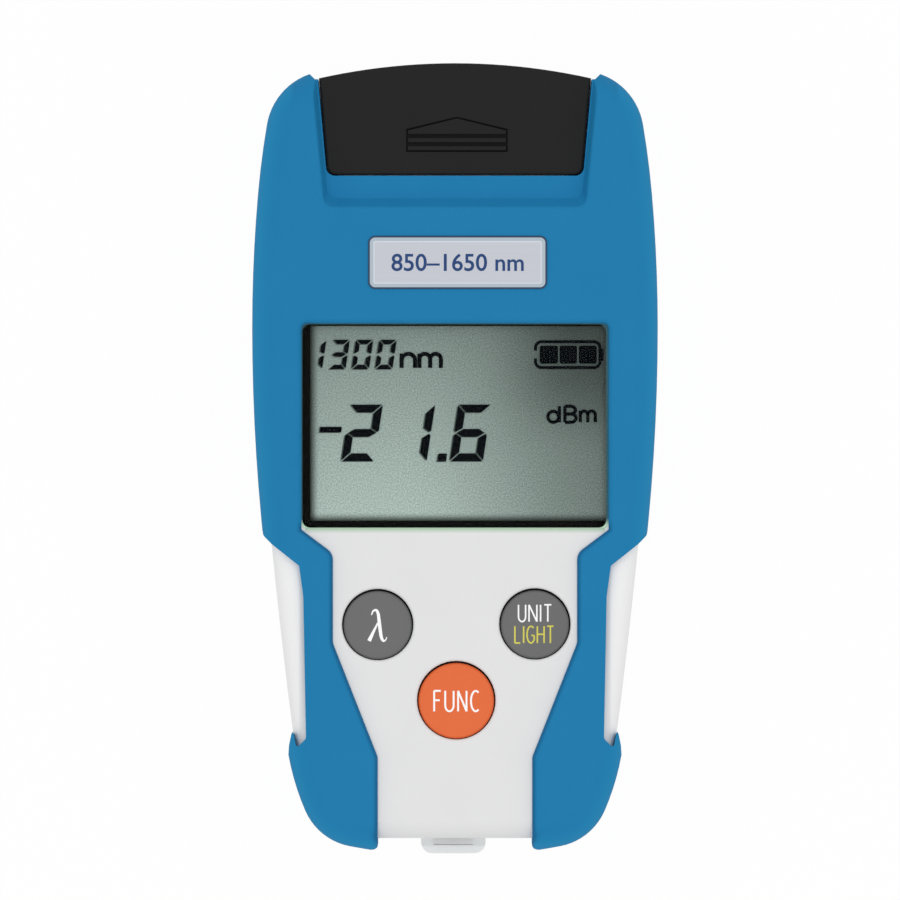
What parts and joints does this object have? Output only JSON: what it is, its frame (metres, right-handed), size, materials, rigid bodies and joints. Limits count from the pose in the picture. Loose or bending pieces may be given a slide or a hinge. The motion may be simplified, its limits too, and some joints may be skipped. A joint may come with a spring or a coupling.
{
  "type": "handheld optical power meter",
  "caption": "Handheld optical power meter with rubber armour, display, round keys, slide-off dust cover over a ferrule port, and a sliding battery door.",
  "frame": {"origin": "middle of the outline in X and Y, on the plane of the rear armour face that the meter lies on", "axes": "+Y along the meter to the port end, +Z out of the display, +X to the right as the display is read"},
  "size_m": [0.062, 0.121, 0.0261],
  "materials": {
    "armour_rubber": "satin",
    "case_plastic": "satin",
    "cover_plastic": "satin",
    "black_plastic": "matte",
    "black_rubber": "matte",
    "badge_metal": "satin",
    "window_clear": "gloss",
    "lcd_panel": "gloss",
    "diffuser_plastic": "satin",
    "board_laminate": "satin",
    "chip_epoxy": "matte",
    "can_metal": "satin",
    "screw_steel": "satin",
    "contact_steel": "satin",
    "port_brass": "nickel plated",
    "sleeve_ceramic": "gloss",
    "key_grey": "satin",
    "key_orange": "satin",
    "plunger_plastic": "matte",
    "cell_jacket": "gloss"
  },
  "bodies": {
    "meter": {"front_armour": "armour_rubber", "rear_armour": "armour_rubber", "front_case": "case_plastic", "rear_case": "case_plastic", "case_screws": "screw_steel", "badge_plate": "badge_metal", "display_window": "window_clear", "display_frame": "black_plastic", "lcd_glass": "lcd_panel", "lcd_connector": "black_rubber", "backlight_panel": "diffuser_plastic", "circuit_board": "board_laminate", "board_screws": "screw_steel", "main_chip": "chip_epoxy", "amplifier_chip": "chip_epoxy", "crystal_can": "can_metal", "key_switches": "black_plastic", "port_body": "port_brass", "port_sleeve": "sleeve_ceramic", "port_screws": "screw_steel", "detector_can": "can_metal", "detector_board": "board_laminate", "battery_springs": "contact_steel", "contact_plates": "contact_steel", "battery_1": "cell_jacket", "battery_2": "cell_jacket", "battery_3": "cell_jacket"},
    "dust_cover_body": {"dust_cover": "cover_plastic"},
    "battery_door_body": {"battery_door": "case_plastic"},
    "wavelength_key": {"wavelength_button": "key_grey", "wavelength_plunger": "plunger_plastic"},
    "unit_key": {"unit_button": "key_grey", "unit_plunger": "plunger_plastic"},
    "function_key": {"function_button": "key_orange", "function_plunger": "plunger_plastic"}
  },
  "joints": [
    {"name": "dust_cover_slide", "type": "slide", "parent": "meter", "child": "dust_cover_body", "axis": [0, 1, 0], "range_m": [0, 0.06]},
    {"name": "battery_door_slide", "type": "slide", "parent": "meter", "child": "battery_door_body", "axis": [0, -1, 0], "range_m": [0, 0.057]},
    {"name": "wavelength_press", "type": "slide", "parent": "meter", "child": "wavelength_key", "axis": [0, 0, -1], "range_m": [0, 0.0006], "stiffness_N_per_m": 2000},
    {"name": "unit_press", "type": "slide", "parent": "meter", "child": "unit_key", "axis": [0, 0, -1], "range_m": [0, 0.0006], "stiffness_N_per_m": 2000},
    {"name": "function_press", "type": "slide", "parent": "meter", "child": "function_key", "axis": [0, 0, -1], "range_m": [0, 0.0006], "stiffness_N_per_m": 2000}
  ]
}
